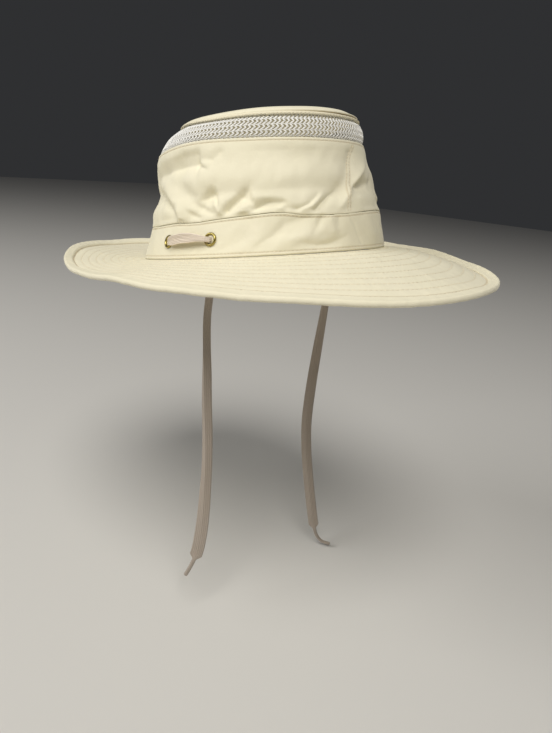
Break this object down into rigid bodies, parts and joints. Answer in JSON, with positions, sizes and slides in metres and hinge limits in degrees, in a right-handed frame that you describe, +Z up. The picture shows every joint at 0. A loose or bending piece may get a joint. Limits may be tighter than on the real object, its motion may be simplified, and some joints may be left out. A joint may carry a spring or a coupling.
{
  "type": "sun hat",
  "caption": "Wide-brimmed cloth sun hat with a stitched oval brim, a soft crown with a net vent band under its tip, and a flat chin cord laced through brass eyelets at both sides",
  "frame": {"origin": "middle of the head opening, where the crown meets the brim", "axes": "+Z up as worn, -Y the front of the hat, -X the wearer's right; the hat leans back on the head by 10.5 degrees about X"},
  "size_m": [0.268, 0.3713, 0.414],
  "materials": {
    "canvas": "matt cream nylon and cotton canvas, stitched",
    "net": "white polyester vent net",
    "brass": "satin lacquered brass",
    "tape": "soft ribbed pinkish beige flat cord"
  },
  "bodies": {
    "root": {"brim": "canvas", "hat_band": "canvas", "crown_side": "canvas", "vent_mesh": "net", "crown_tip": "canvas", "eyelet_right_front": "brass", "eyelet_right_rear": "brass", "eyelet_left_front": "brass", "eyelet_left_rear": "brass", "cord_right_span": "tape", "cord_left_span": "tape", "cord_back": "tape", "cord_right_end": "tape", "cord_left_end": "tape"}
  },
  "joints": []
}
